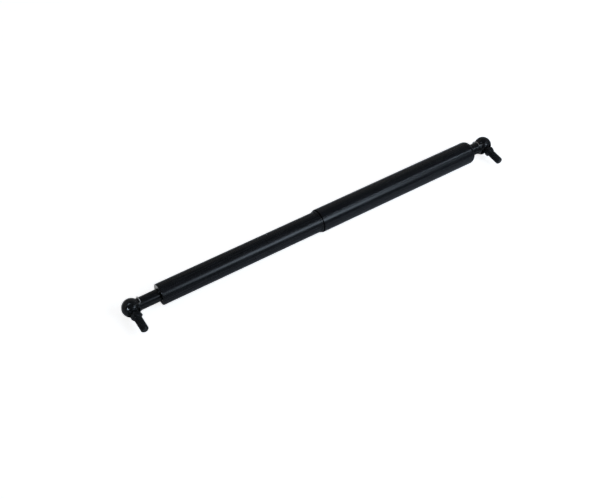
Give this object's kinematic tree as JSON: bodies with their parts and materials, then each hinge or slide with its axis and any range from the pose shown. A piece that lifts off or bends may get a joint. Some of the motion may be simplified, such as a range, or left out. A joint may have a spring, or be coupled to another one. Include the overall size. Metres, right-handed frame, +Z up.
{
  "type": "gas strut stay",
  "caption": "Extended gas strut with a sleeve over its rod and an angled ball joint with a threaded stud at each end.",
  "frame": {"origin": "centre of the cylinder-end stud's seat face, where its hexagonal collar meets the bracket", "axes": "+X along the strut from the cylinder end to the rod end, both threaded studs point along -Y, +Z up"},
  "size_m": [0.4538, 0.042, 0.025],
  "materials": {
    "black_paint": "semi-gloss black paint on steel tube",
    "sleeve_paint": "semi-gloss black paint on thin steel tube",
    "black_joint": "black-passivated steel, satin",
    "black_stud": "black-passivated steel, satin",
    "collar_plastic": "black moulded plastic, satin",
    "clip_wire": "bright zinc-plated spring wire",
    "spring_wire": "plain spring steel",
    "rod_steel": "ground and hard-chromed steel",
    "zinc_steel": "zinc-plated steel",
    "guide_bronze": "sintered bronze",
    "piston_alloy": "turned aluminium alloy",
    "ring_plastic": "off-white low-friction plastic",
    "seal_rubber": "black nitrile rubber"
  },
  "bodies": {
    "cylinder": {"cylinder_tube": "black_paint", "cylinder_end_plug": "zinc_steel", "end_plug_seal": "seal_rubber", "closing_washer": "zinc_steel", "rod_guide": "guide_bronze", "rod_seal": "seal_rubber", "seal_support_ring": "ring_plastic", "cylinder_end_ball_socket": "black_joint", "cylinder_end_safety_clip": "clip_wire"},
    "cylinder_end_ring": {"cylinder_end_retaining_ring": "spring_wire"},
    "cylinder_end_stud": {"cylinder_end_ball_stud": "black_stud"},
    "travelling_ring": {"piston_ring": "ring_plastic"},
    "rod": {"piston_rod": "rod_steel", "piston_stop_washer": "zinc_steel", "piston": "piston_alloy", "flow_disc": "zinc_steel", "piston_nut": "zinc_steel", "tube_carrier": "zinc_steel", "protective_tube": "sleeve_paint", "mouth_guide_ring": "collar_plastic", "rod_end_ball_socket": "black_joint", "rod_end_safety_clip": "clip_wire"},
    "rod_end_ring": {"rod_end_retaining_ring": "spring_wire"},
    "rod_end_stud": {"rod_end_ball_stud": "black_stud"}
  },
  "joints": [
    {"name": "stroke", "type": "slide", "parent": "cylinder", "child": "travelling_ring", "axis": [1, 0, 0], "range_m": [-0.15, 0]},
    {"name": "rod_turn", "type": "hinge", "parent": "travelling_ring", "child": "rod", "pos_m": [0.2, 0.013, 0], "axis": [1, 0, 0], "continuous": true},
    {"name": "cylinder_end_swivel", "type": "hinge", "parent": "cylinder", "child": "cylinder_end_ring", "pos_m": [0, 0.013, 0], "axis": [0, -1, 0], "continuous": true},
    {"name": "cylinder_end_tilt", "type": "hinge", "parent": "cylinder_end_ring", "child": "cylinder_end_stud", "pos_m": [0, 0.013, 0], "axis": [0, 0, 1], "range_deg": [-18, 18]},
    {"name": "rod_end_swivel", "type": "hinge", "parent": "rod", "child": "rod_end_ring", "pos_m": [0.435, 0.013, 0], "axis": [0, -1, 0], "continuous": true},
    {"name": "rod_end_tilt", "type": "hinge", "parent": "rod_end_ring", "child": "rod_end_stud", "pos_m": [0.435, 0.013, 0], "axis": [0, 0, 1], "range_deg": [-18, 18]}
  ]
}
